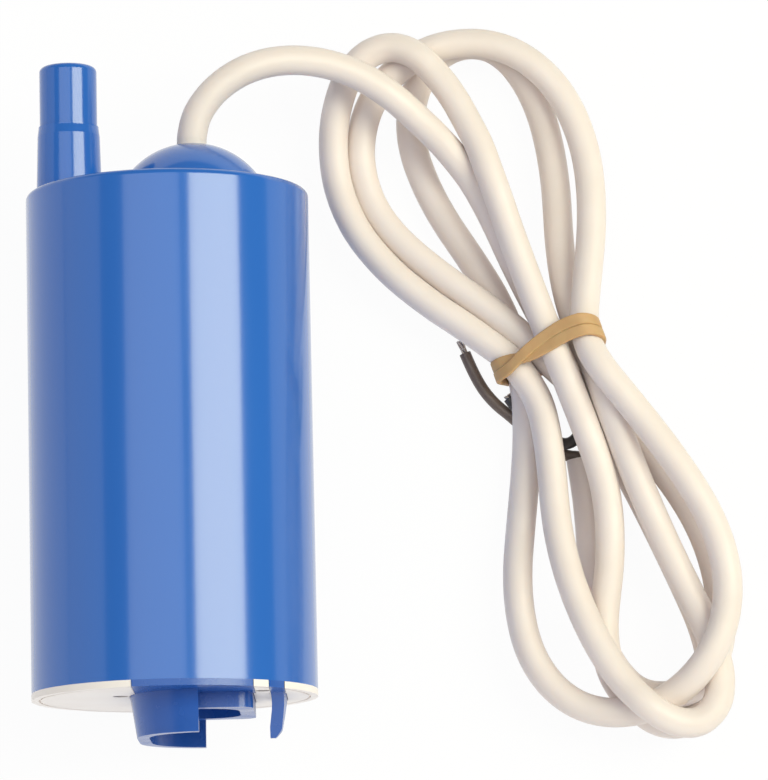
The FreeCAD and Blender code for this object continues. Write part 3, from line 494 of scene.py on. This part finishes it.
# Motor can
# Deep-drawn steel with a zinc coat, brightest where the drawing die has polished it, in lengthwise streaks.
zinc = mottled("zinc_plated_steel_drawn", "#C9CCD0", "#AEB2B6", grain=3, rough=(0.22, 0.42), dent=0.004,
               metal=1, stretch=(1, 0.15, 1))
dress(zinc, "motor_can")

# Magnets and clips
# Two sintered ferrite arcs, near black with a fine grain, held apart by clips bent from bright spring steel.
ferrite = mottled("ferrite_sintered", "#3A3A3D", "#2C2C2F", grain=0.6, rough=(0.45, 0.65), dent=0.02)
dress(ferrite, "field_magnets")
spring_steel = mottled("spring_steel_rolled", "#9A9CA0", "#7F8186", grain=1.5, rough=(0.25, 0.4), metal=1)
dress(spring_steel, "magnet_clips")

# Bushes, brushes and terminals
# Sintered bronze bushes, speckled by their pores, terminals and brush arms of bright rolled bronze strip,
# and brushes pressed from carbon, a dull dark grey.
bronze = mottled("bronze_sintered", "#B28B54", "#8F6C3C", grain=0.5, rough=(0.4, 0.6), dent=0.015, metal=1)
dress(bronze, "front_bush", "rear_bush")
strip = mottled("bronze_strip_rolled", "#C6A468", "#AD8A50", grain=1.5, rough=(0.22, 0.38), metal=1)
dress(strip, "brush_arms", "motor_terminals")
carbon = mottled("carbon_pressed", "#39393B", "#2B2B2D", grain=0.4, rough=(0.5, 0.7), dent=0.01)
dress(carbon, "carbon_brushes")

# End cap
# Closes the motor and holds the brushes. Glass fibres give the moulded black nylon a slightly cloudy face.
nylon = mottled("black_nylon_moulded", "#2A2A2D", "#232326", grain=2, rough=(0.4, 0.55), dent=0.01)
dress(nylon, "motor_end_cap")

# Motor leads
# The two cores inside the dome, soldered to the terminals, in brown and black PVC with a dull shine.
brown_lead = mottled("pvc_brown_lead", "#6B4A38", "#5C3E2E", grain=2, rough=(0.35, 0.5))
black_lead = mottled("pvc_black_lead", "#333234", "#28272A", grain=2, rough=(0.35, 0.5))
dress(brown_lead, "lead_brown")
dress(black_lead, "lead_black")

# Rotor
# A ground steel shaft through a stack of iron laminations, seen as fine rings half a millimetre apart, wound
# with enamelled copper wire, with a turned copper commutator and black nylon thrust washers.
ground_steel = mottled("steel_ground", "#D3D5D7", "#C2C4C7", grain=1, rough=(0.12, 0.25), metal=1)
dress(ground_steel, "shaft")
dress(nylon, "thrust_washers")
for name, light, dark, pitch, direction, rough, nodes in (
    ("iron_laminations_stacked", "#7A7C80", "#2E2F33", 0.5, "Y", 0.4, ("armature_stack",)),
    ("enamelled_copper_wound", "#C57B4A", "#6E3418", 0.6, "DIAGONAL", 0.25, ("coil_windings",)),
    ("commutator_copper_turned", "#C98B5C", "#A96C42", 0.3, "Y", 0.3, ("commutator",)),
):
    material, tree, shader = new_material(name)
    place = add_node(tree, "ShaderNodeTexCoord").outputs["Object"]
    # A wave's bands lie 0.314 m / scale apart
    wave = {"bands_direction": direction, "Scale": 314 / pitch, "Distortion": 0.4}
    lines = add_node(tree, "ShaderNodeTexWave", wave, Vector=place)
    tint = add_node(tree, "ShaderNodeMix", {"data_type": "RGBA", 6: linear(dark), 7: linear(light)},
                    i0=lines.outputs["Fac"])
    tree.links.new(tint.outputs[2], shader.inputs["Base Color"])
    ridge = add_node(tree, "ShaderNodeBump", {"Strength": 0.5, "Distance": 0.00005},
                     Height=lines.outputs["Fac"])
    tree.links.new(ridge.outputs[0], shader.inputs["Normal"])
    shader.inputs["Metallic"].default_value = 1
    shader.inputs["Roughness"].default_value = rough
    dress(material, *nodes)

# Floor
# A plain white table that keeps a faint shadow of the pump and runs out to the white of the room. It glows
# near white to the eye and in gloss, and less to the light that it throws back on the pump.
glow_seen = 0.95
glow_thrown = 0.4
floor_mesh = bmesh.new()
bmesh.ops.create_grid(floor_mesh, x_segments=1, y_segments=1, size=3)
floor_data = bpy.data.meshes.new("floor")
floor_mesh.to_mesh(floor_data)
floor_mesh.free()
floor = bpy.data.objects.new("floor", floor_data)
scene.collection.objects.link(floor)
white, tree, shader = new_material("white_table")
shader.inputs["Base Color"].default_value = linear("#F4F3F2")
shader.inputs["Roughness"].default_value = 0.9
seen = add_node(tree, "ShaderNodeLightPath")
bright = add_node(tree, "ShaderNodeEmission", {"Color": (1, 1, 1, 1), "Strength": 1})
direct = add_node(tree, "ShaderNodeMath", {"operation": "MAXIMUM"},
                  i0=seen.outputs["Is Camera Ray"], i1=seen.outputs["Is Glossy Ray"])
either = add_node(tree, "ShaderNodeMath", {"operation": "MAXIMUM"},
                  i0=direct.outputs[0], i1=seen.outputs["Is Transmission Ray"])
seen_share = add_node(tree, "ShaderNodeMath", {"operation": "MULTIPLY", 1: glow_seen}, i0=either.outputs[0])
thrown_share = add_node(tree, "ShaderNodeMath", {"operation": "MULTIPLY", 1: glow_thrown},
                        i0=seen.outputs["Is Diffuse Ray"])
share = add_node(tree, "ShaderNodeMath", {"operation": "MAXIMUM"},
                 i0=seen_share.outputs[0], i1=thrown_share.outputs[0])
blend = add_node(tree, "ShaderNodeMixShader", i0=share.outputs[0], i1=shader.outputs[0],
                 i2=bright.outputs[0])
tree.links.new(blend.outputs[0], tree.nodes["Material Output"].inputs["Surface"])
floor_data.materials.append(white)

# Lights
# A strip up to the right draws the bright stripe along the housing and a soft overhead panel the paler zone
# beside it. Broad dim panels on the left and at the intake end and the room fill in the rest.
room = bpy.data.worlds.new("room")
room.use_nodes = True
background = room.node_tree.nodes["Background"]
background.inputs["Color"].default_value = (1, 1, 1, 1)
# The white of the room where the camera sees it, and a dim fill elsewhere
room_fill = 0.3
seen = add_node(room.node_tree, "ShaderNodeLightPath")
fill = add_node(room.node_tree, "ShaderNodeMath", {"operation": "MAXIMUM", 1: room_fill},
                i0=seen.outputs["Is Camera Ray"])
room.node_tree.links.new(fill.outputs[0], background.inputs["Strength"])
scene.world = room


def panel(name, lean, distance, ahead, width, length, brightness, tip=0, colour=(1, 1, 1)):
    """A lamp panel over the pump, leaning to its right and tipped towards its intake end, in degrees."""
    data = bpy.data.lights.new(name, "AREA")
    data.shape = "RECTANGLE"
    data.size = width
    data.size_y = length
    # A panel is as bright as white when it gives off pi watts per square metre
    data.energy = brightness * math.pi * width * length
    data.color = colour
    lamp = bpy.data.objects.new(name, data)
    scene.collection.objects.link(lamp)
    lamp.matrix_world = (Matrix.Rotation(math.radians(lean), 4, "Y")
                         @ Matrix.Rotation(math.radians(tip), 4, "X")
                         @ Matrix.Translation((0, ahead, distance)))


panel("strip_right", lean=39.5, distance=1.0, ahead=0.14, width=0.74, length=0.45, brightness=7.4,
      colour=(1, 0.99, 0.79))
panel("panel_above", lean=-10.5, distance=1.2, ahead=0.14, width=0.98, length=0.6, brightness=1.6)
panel("panel_left", lean=-70, distance=1.1, ahead=0, width=0.7, length=1.4, brightness=0.6)
panel("panel_front", lean=0, distance=1.0, ahead=0, width=1.2, length=0.6, brightness=1.4, tip=72)
